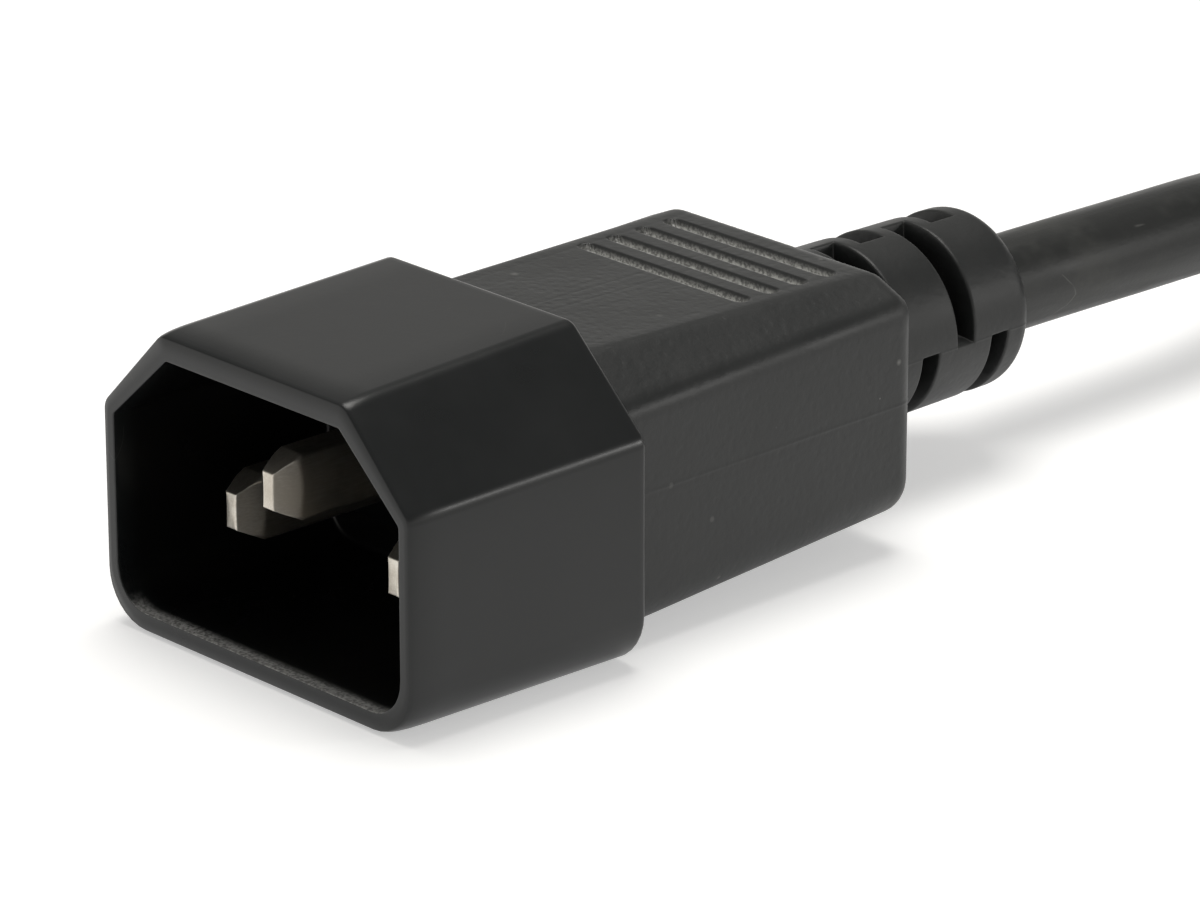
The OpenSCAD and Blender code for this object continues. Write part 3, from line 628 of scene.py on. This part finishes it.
def roundedBox(y, halfX, halfZ, radius, x, z, arcSteps=4, flatSteps=10):
    # Rounded rectangles, one to each y. Sizes may be one number or one to each y.
    y = np.asarray(y, float)
    halfX, halfZ, radius = (np.broadcast_to(np.asarray(v, float), y.shape)[:, None, None]
                            for v in (halfX, halfZ, radius))
    start = np.arange(4)[None, :, None] * np.pi / 2
    angle = start + np.linspace(0, np.pi / 2, arcSteps + 1)
    signX = np.array([1, -1, -1, 1])[None, :, None]
    signZ = np.array([1, 1, -1, -1])[None, :, None]
    arcs = np.stack([signX * (halfX - radius) + radius * np.cos(angle),
                     signZ * (halfZ - radius) + radius * np.sin(angle)], -1)
    along = np.linspace(0, 1, flatSteps + 1)[1:-1, None]
    flats = arcs[:, :, -1:] * (1 - along) + np.roll(arcs[:, :, :1], -1, 1) * along
    flat = np.concatenate([arcs, flats], 2).reshape(len(y), -1, 2)
    return np.stack([x + flat[..., 0], np.repeat(y[:, None], flat.shape[1], 1), z + flat[..., 1]], -1)


def makeShroud(spec):
    # One surface from the middle of the cavity's floor, out along its walls, over the mouth's rounded lip,
    # back along the outside and over the rear edge to the middle of the rear face.
    inward, along = rounding()
    wall, length, depth = spec["wall"], spec["length"], spec["depth"]
    lip, rear, floorR = (spec[k + "Radius"] for k in ("lip", "rear", "floor"))
    roll, drop = spec["rollLength"], spec["rollDrop"]
    wallSteps, sideSteps = 24, 36
    innerY = np.concatenate([
        [depth] * 3, depth - floorR * along, np.linspace(depth - 0.7, 0.5, wallSteps), lip * inward, [0, 0]])
    outerY = np.concatenate([
        roll * along, np.linspace(roll + 0.4, length - rear - 0.3, sideSteps), length - rear * inward,
        [length] * 2])
    y = np.concatenate([innerY, outerY])
    inset = np.concatenate([
        [floorR] * 3, floorR * inward, np.zeros(wallSteps), -lip * along,
        [-0.25, -0.45], -wall + drop * inward, np.full(sideSteps, -wall), -wall + rear * along,
        [rear - wall] * 2])
    scale = np.ones(len(y))
    scale[:3], scale[-2:] = (0.4, 0.8, 0.97), (0.97, 0.4)
    inner = np.arange(len(y)) < len(innerY)
    sections = np.where(
        inner[:, None], spec["cavity"], blendSections(spec["front"], spec["rear"], y / length))
    flat = outlines(sections, inset)
    middle = np.array([0, spec["middle"]])
    flat = middle + (flat - middle) * scale[:, None, None]
    rings = np.stack([flat[..., 0], np.repeat(mouthY + y[:, None], flat.shape[1], 1), flat[..., 1]], -1)
    shell = closedShell(rings, [0, mouthY + depth, spec["middle"]], [0, mouthY + length, spec["middle"]])
    halfX, halfZ, stemLength = spec["stem"]
    stemY = mouthY + length + np.array([-0.5, 0, 0.5, 1]) * stemLength
    stem = closedShell(roundedBox(stemY, halfX, halfZ, 0.4, 0, spec["middle"]))
    # Painted shade: the cavity turns black past the depth that light reaches along its walls.
    inside = np.clip((y - spec["litDepth"]) / 0.3, 0, 1) * inner
    inside = np.concatenate([np.repeat(inside, flat.shape[1]), [1, 0], np.zeros(len(stem[0]))])
    # Painted highlight: a pale strip on the cavity's floor just inside the mouth, where light reaches.
    low = np.clip((spec["cavity"][1] + 0.5 - flat[..., 1]) / 0.4, 0, 1)
    lit = np.clip((spec["litDepth"] - y) / 0.3, 0, 1) * (y > 0.02) * inner
    pale = lit[:, None] * low
    pale = np.concatenate([pale.ravel(), np.zeros(2 + len(stem[0]))])
    return makePiece("shroud", joinShells(shell, stem), finishes["shroud"],
                     ["plug_shroud"], {"inside": inside, "pale": pale})


makeShroud(shroudSpec)


pinSpec = {
    "halfThick": 1.0, "halfHigh": 2.0, "edge": 0.25,
    "tipLength": 1.8, "tipHalfThick": 0.4, "tipHalfHigh": 1.08, "tipEdge": 0.06,
    "crown": 0.03,                        # how much the tip's flanks round off towards their edges
    "stemEnd": 21.8, "neck": 0.5, "crimp": 3.5, "support": 2.2,
    "tips": {"pin_line": (-7, 4.2, 7.3), "pin_neutral": (7, 4.2, 7.3), "pin_earth": (0, 1.1, 11.3)},
}


def makePin(node, spec):
    # A rounded blade. Over the tip its height shrinks evenly, and its flanks are cut to a slope that
    # starts sooner towards the edges, as the crown's share of the height squared.
    x, tip, z = spec["tips"][node]
    edge = spec["tipEdge"]
    y = np.concatenate([tip + edge * (1 - np.sin(np.linspace(0, np.pi / 2, 4)[::-1])),
                        np.linspace(tip + 0.12, tip + spec["tipLength"] + 0.3, 30),
                        np.linspace(tip + spec["tipLength"] + 0.8, spec["stemEnd"], 14)])
    rings = roundedBox(y, spec["halfThick"], spec["halfHigh"], spec["edge"], 0, 0, 5, 14)
    share = ((y - tip) / spec["tipLength"])[:, None]
    front = edge * (1 - np.sin(np.arccos(np.clip(1 - (y - tip) / edge, 0, 1))))[:, None]
    high = spec["tipHalfHigh"] + (spec["halfHigh"] - spec["tipHalfHigh"]) * np.minimum(share, 1) - front
    rings[..., 2] *= high / spec["halfHigh"]
    limit = spec["tipHalfThick"] + (spec["halfThick"] - spec["tipHalfThick"]) * share - front \
        + spec["crown"] * rings[..., 2] ** 2
    width = np.abs(rings[..., 0])
    soft = 0.02
    rings[..., 0] = np.sign(rings[..., 0]) * (
        (width + limit) / 2 - np.sqrt(((width - limit) / 2) ** 2 + soft ** 2))
    rings += [x, mouthY, z]
    back = mouthY + spec["stemEnd"]
    copper, support = back + spec["neck"], back + spec["neck"] + spec["crimp"]
    neck = closedShell(roundedBox([back - 0.2, copper + 0.3], 0.8, 0.6, 0.1, x, z))
    barrel = lathe([(copper, 0.62), (copper, 1), (support - 0.3, 1), (support, 1.55),
                    (support + spec["support"], 1.55), (support + spec["support"], 1.17)], x, z)
    makePiece(node.replace("pin_", "pin") + "Blade", joinShells(closedShell(rings), neck, barrel),
              finishes["nickel"], [node])


for pinNode in pinSpec["tips"]:
    makePin(pinNode, pinSpec)


reliefSpec = {
    "root": 5.9, "end": 5.72, "length": 16.2, "round": 1.5, "fillet": 0.4,
    "parting": -0.4,                      # height of the parting plane above the axis
    "lip": 3.45, "recess": 1.0,
    "slots": [3.7 + 3.05 * n for n in range(4)],    # distances behind the grip
    "slotWidth": 1.4, "flare": 0.5, "past": 0.6, "skin": 3.45, "edge": 0.16,
}
gripSpec = {
    "front": (11.4, 0.8, 17.2, 7.3, 2.5, 2.4, 1.5, 1.4),
    "rear": (11.1, 2.2, 16.9, 8.3, 1.2, 2.4, 1.5, 1.4),
    "start": 17.3, "end": 41.8, "frontRadius": 0.1, "rearRadius": 1.4, "axis": 9.5,
    "grooves": [38.7 - 2.35 * n for n in range(4)],
    "grooveHalf": 7, "grooveWidth": 1.1, "grooveDeep": 0.5, "grooveEdge": 0.12,
    "seam": 0.03,                         # how far the moulding seam stands out
}


def withClusters(base, places, offsets):
    # An even row of values with finer ones about the places where the surface steps.
    fine = (np.asarray(places)[:, None] + np.asarray(offsets)).ravel()
    merged = np.unique(np.round(np.concatenate([base, fine]), 5))
    return merged[np.concatenate([[True], np.diff(merged) > 1e-4])]


def stepDown(distance, deep, edge, wall=0.05):
    # How far the surface drops near an opening: a rounded edge outside it, a steep wall, then the floor.
    over = np.clip(edge - distance, 0, edge)
    lip = edge - np.sqrt(np.maximum(edge ** 2 - over ** 2, 0))
    return lip + np.clip(-distance / wall, 0, 1) * (deep - edge)


def slotDrop(s, angle, radius, spec):
    # Distance to the nearest slot, as to a box: along the relief, past the parting plane, past the middle.
    sx, sz = radius * np.cos(angle), radius * np.sin(angle)
    nearest = np.full(np.broadcast(s, sx).shape, 9.0)
    for number, centre in enumerate(spec["slots"]):
        for up in (1, -1):
            right = up if number % 2 == 0 else -up
            gaps = np.stack(np.broadcast_arrays(
                np.abs(s - centre) - spec["slotWidth"] / 2, up * (spec["parting"] - sz),
                -spec["past"] - right * sx))
            outside = np.sqrt((np.maximum(gaps, 0) ** 2).sum(0))
            nearest = np.minimum(nearest, outside + np.minimum(gaps.max(0), 0))
    return stepDown(nearest, radius - spec["skin"], spec["edge"])


def makeGrip(name, node, spec, relief, carry):
    # Distances from the grip's middle line, in every direction and at every step towards the rear: first
    # its rounded six-cornered outline, then the relief's circle, both less what grooves and slots take.
    axis, start, end = spec["axis"], spec["start"], spec["end"]
    slotEdges = np.degrees(np.arcsin(relief["past"] / relief["root"]))
    tilt = np.degrees(np.arcsin(relief["parting"] / relief["root"]))
    seams = [0, 180, tilt, 180 - tilt, 90 - slotEdges, 90 + slotEdges, 270 - slotEdges, 270 + slotEdges]
    spread = np.array([0, 0.4, 0.8, 1.3, 1.9, 2.6])
    angle = withClusters(np.arange(0, 360, 1.6), seams, np.concatenate([-spread, spread]))
    if spec["grooves"]:
        top = spec["rear"][2] - axis
        ends = np.degrees(np.arctan2(top, np.arange(6.3, 7.3, 0.09)))
        angle = withClusters(angle, [0], np.concatenate([ends, 180 - ends]))
    angle = np.radians(np.unique(np.round(angle % 360, 4)))
    inward, along = rounding(9)
    filletSteps, roundSteps = 5, 20
    grooveSteps = np.array([0, 0.25, 0.42, 0.5, 0.55, 0.6, 0.66, 0.75])
    y = np.arange(start + 0.5, end - spec["rearRadius"], 0.7 if spec["grooves"] else 0.5)
    if spec["grooves"]:
        y = withClusters(y, spec["grooves"], np.concatenate([-grooveSteps, grooveSteps]))
    y = y[y < end - spec["rearRadius"] - 0.05]
    frontY = start + spec["frontRadius"] * along
    rearY = end - spec["rearRadius"] * inward
    bodyY = np.concatenate([frontY, y, rearY])
    inset = np.concatenate([spec["frontRadius"] * inward, np.zeros(len(y)),
                            spec["rearRadius"] * along])
    sections = blendSections(spec["front"], spec["rear"], (bodyY - start) / (end - start))
    dense = outlines(sections, inset, 24, 20)
    denseAngle = np.arctan2(dense[..., 1] - axis, dense[..., 0]) % (2 * np.pi)
    denseRadius = np.hypot(dense[..., 1] - axis, dense[..., 0])
    body = np.stack([np.interp(angle, a[np.argsort(a)], r[np.argsort(a)], period=2 * np.pi)
                     for a, r in zip(denseAngle, denseRadius)])
    drop = np.zeros_like(body)
    if spec["grooves"]:
        across = np.abs(body * np.cos(angle))
        half = spec["grooveWidth"] / 2
        gap = np.full(body.shape, 9.0)
        for centre in spec["grooves"]:
            reach = np.hypot(np.maximum(across - spec["grooveHalf"] + half, 0), bodyY[:, None] - centre)
            gap = np.minimum(gap, reach - half)
        drop = stepDown(gap, spec["grooveDeep"], spec["grooveEdge"]) * (np.sin(angle) > 0.4)
    seam = np.exp(-(np.sin(angle) * body / 0.07) ** 2) * spec["seam"]
    bodyX = (body + seam) * np.cos(angle)
    bodyZ = axis + body * np.sin(angle) - drop
    bodyRings = np.stack([bodyX, np.repeat(bodyY[:, None], len(angle), 1), bodyZ], -1)

    face = np.array([0.25, 0.5, 0.75, 0.92])[:, None]
    rootRadius = relief["root"] + relief["fillet"]
    faceRadius = body[-1] * (1 - face) + rootRadius * face
    faceRings = np.stack([faceRadius * np.cos(angle), np.full(faceRadius.shape, end),
                          axis + faceRadius * np.sin(angle)], -1)

    slotSteps = np.array([0.03, 0.08, 0.14, 0.22, 0.32])
    edges = np.array([c + side * relief["slotWidth"] / 2 for c in relief["slots"] for side in (-1, 1)])
    bend = relief["length"] - relief["round"]
    s = withClusters(np.arange(0.6, bend, 0.45), edges, np.concatenate([-slotSteps, [0], slotSteps]))
    s = s[(s > relief["fillet"] + 0.05) & (s < bend)]
    filletOut, filletAlong = (relief["fillet"] * part for part in rounding(filletSteps))
    roundTurn = np.linspace(0, np.pi / 2, roundSteps)
    s = np.concatenate([filletAlong, s, bend + relief["round"] * np.sin(roundTurn)])
    radius = relief["root"] - (relief["root"] - relief["end"]) * np.minimum(s / bend, 1)
    radius[:filletSteps] += filletOut
    radius[-roundSteps:] = relief["lip"] + (relief["end"] - relief["lip"]) * np.cos(roundTurn)
    radius, s = radius[:, None], s[:, None]
    slotted = radius - slotDrop(s, angle[None], radius, relief)
    fromSeam = np.sin(angle) * slotted - relief["parting"]
    slotted = slotted + np.exp(-(fromSeam / 0.06) ** 2) * spec["seam"] * 0.7
    near = np.min(np.abs(s - np.array(relief["slots"])), axis=1, keepdims=True)
    which = np.array(relief["slots"])[np.argmin(np.abs(s - np.array(relief["slots"])), axis=1)][:, None]
    flare = relief["flare"] / relief["slotWidth"] * np.maximum(np.sin(angle), 0) * slotted / relief["root"]
    widened = s + (s - which) * flare * np.clip((1.5 - near) / 0.6, 0, 1)
    reliefRings = np.stack([slotted * np.cos(angle), end + widened, axis + slotted * np.sin(angle)], -1)

    recess = np.array([[relief["lip"] - 0.05, 0.06], [relief["lip"] - 0.12, 0.25],
                       [relief["lip"] - 0.2, relief["recess"]], [1.5, relief["recess"]]])
    recessRings = np.stack([recess[:, :1] * np.cos(angle),
                            np.repeat(end + relief["length"] - recess[:, 1:], len(angle), 1),
                            axis + recess[:, :1] * np.sin(angle)], -1)
    rings = np.concatenate([bodyRings, faceRings, reliefRings, recessRings])
    glint = np.zeros(rings.shape[:2])
    glint[:len(bodyY)] = np.clip(drop / spec["grooveDeep"] * 1.4 - 0.3, 0, 1) if spec["grooves"] else 0
    # Painted shade: the slots turn black with their depth, and the recess round the cord is black.
    inside = np.zeros(rings.shape[:2])
    slotRows = slice(len(bodyY) + 4, len(bodyY) + 4 + len(s))
    inside[slotRows] = np.clip((radius - slotted - 0.4) / 0.8, 0, 1) * (s < bend)
    inside[-3:] = 1
    points, faces = closedShell(rings)
    # The groove floors' glint mask also carries their painted highlight.
    marks = {"glint": np.append(glint, [0, 0]), "pale": np.append(glint, [0, 0]),
             "inside": np.append(inside, [0, 1])}
    return makePiece(name, (carry(points), faces), finishes["grip"], [node], marks)


makeGrip("plugGrip", "plug_grip", gripSpec, reliefSpec, lambda p: p + [0, mouthY, 0])

connectorSpec = dict(
    gripSpec, front=(13.4, 0, 19, 8.3, 5.3, 2.4, 1.5, 1.4), rear=(11.1, 2.1, 16.9, 8.3, 1.2, 2.4, 1.5, 1.4),
    start=15.8, end=40.8, frontRadius=0.3, grooves=[])
connectorPlace = np.array([cordSpec["connectorX"], 162.2, 13.4])    # its face, on top of the hank
connectorPiece = makeGrip(
    "connectorGrip", "connector_grip", connectorSpec, reliefSpec,
    lambda p: connectorPlace + p * [-1, -1, 1])


carriedOver = {
    "plug_copper_line": "copper", "plug_copper_neutral": "copper", "plug_copper_earth": "copper",
    "connector_copper_line": "copper", "connector_copper_neutral": "copper",
    "connector_copper_earth": "copper",
    "plug_wire_line": "brown", "plug_wire_neutral": "blue", "plug_wire_earth": "earth",
    "connector_wire_line": "brown", "connector_wire_neutral": "blue", "connector_wire_earth": "earth",
    "contact_line": "brass", "contact_neutral": "brass", "contact_earth": "brass",
    "connector_nose": "nose",
}
for nodeName, finish in carriedOver.items():
    nodes[nodeName].material_slots[0].material = finishes[finish]
print("nodes: finished", len(carriedOver))


studio = {
    "floorSize": 4.0, "floor": (0.8, 0.8, 0.8, 1),
    "lift": 0.42, "mirrored": (0.5, 0.0),    # added to what the camera and reflections see, left to right
    "world": (1.0, 0.985, 0.95, 1),
    "lamps": {
        "keyLamp": {"place": (-0.1, 0.08, 0.85), "aim": (0, 0, 0.01), "size": (0.5, 0.5), "power": 5.0,
                    "tint": (1.0, 0.985, 0.95)},
        "rimLamp": {"place": (0.62, 0.53, 0.24), "aim": (0, 0, 0.01), "size": (0.14, 0.06), "power": 0.8,
                    "tint": (1.0, 0.99, 0.97)},
    },
}


def makeFloor(spec):
    # Pale ground that looks white to the camera and in reflections, and keeps the object's shadow.
    side = spec["floorSize"] / 2
    mesh = bpy.data.meshes.new("floor")
    corners = [(-side, -side, 0), (side, -side, 0), (side, side, 0), (-side, side, 0)]
    mesh.from_pydata(corners, [], [(0, 1, 2, 3)])
    material = bpy.data.materials.new("paleFloor")
    material.use_nodes = True
    tree = material.node_tree
    tree.nodes.clear()
    matte = place(tree, "BsdfDiffuse", {"Color": spec["floor"]})
    path = place(tree, "LightPath")
    across = place(tree, "SeparateXYZ", {0: (place(tree, "NewGeometry"), "Position")})
    share = band(tree, (across, 0), -0.02, 0.12, *spec["mirrored"])
    mirrored = calc(tree, "MULTIPLY", (path, "Is Glossy Ray"), share)
    direct = calc(tree, "MAXIMUM", (path, "Is Camera Ray"), (path, "Is Transmission Ray"))
    seen = calc(tree, "ADD", calc(tree, "MULTIPLY", direct, spec["lift"]), mirrored)
    lift = place(tree, "Emission", {"Strength": seen})
    both = place(tree, "AddShader", {0: (matte, 0), 1: (lift, 0)})
    place(tree, "OutputMaterial", {"Surface": (both, 0)})
    mesh.materials.append(material)
    floor = bpy.data.objects.new("floor", mesh)
    scene.collection.objects.link(floor)


def makeWorld(spec):
    # A pale horizon under a darker ceiling, which soft boxes light.
    world = bpy.data.worlds.new("studio")
    world.use_nodes = True
    tree = world.node_tree
    tree.nodes.clear()
    height = place(tree, "SeparateXYZ", {0: (place(tree, "TexCoord"), "Generated")})
    level = band(tree, (height, 2), 0.12, 0.42, 1.1, 0.28)
    ground = place(tree, "Background", {"Color": spec["world"], "Strength": level})
    place(tree, "OutputWorld", {"Surface": (ground, 0)})
    scene.world = world


def makeLamp(name, spec):
    data = bpy.data.lights.new(name, "AREA")
    data.shape = "RECTANGLE"
    data.size, data.size_y = spec["size"]
    data.energy, data.color = spec["power"], spec["tint"]
    lamp = bpy.data.objects.new(name, data)
    lamp.location = spec["place"]
    lamp.rotation_euler = (Vector(spec["aim"]) - lamp.location).to_track_quat("-Z", "Y").to_euler()
    scene.collection.objects.link(lamp)


makeFloor(studio)
makeWorld(studio)
for lampName, lampSpec in studio["lamps"].items():
    makeLamp(lampName, lampSpec)
print("studio: floor, world and", len(studio["lamps"]), "lamps")

bpy.context.view_layer.update()
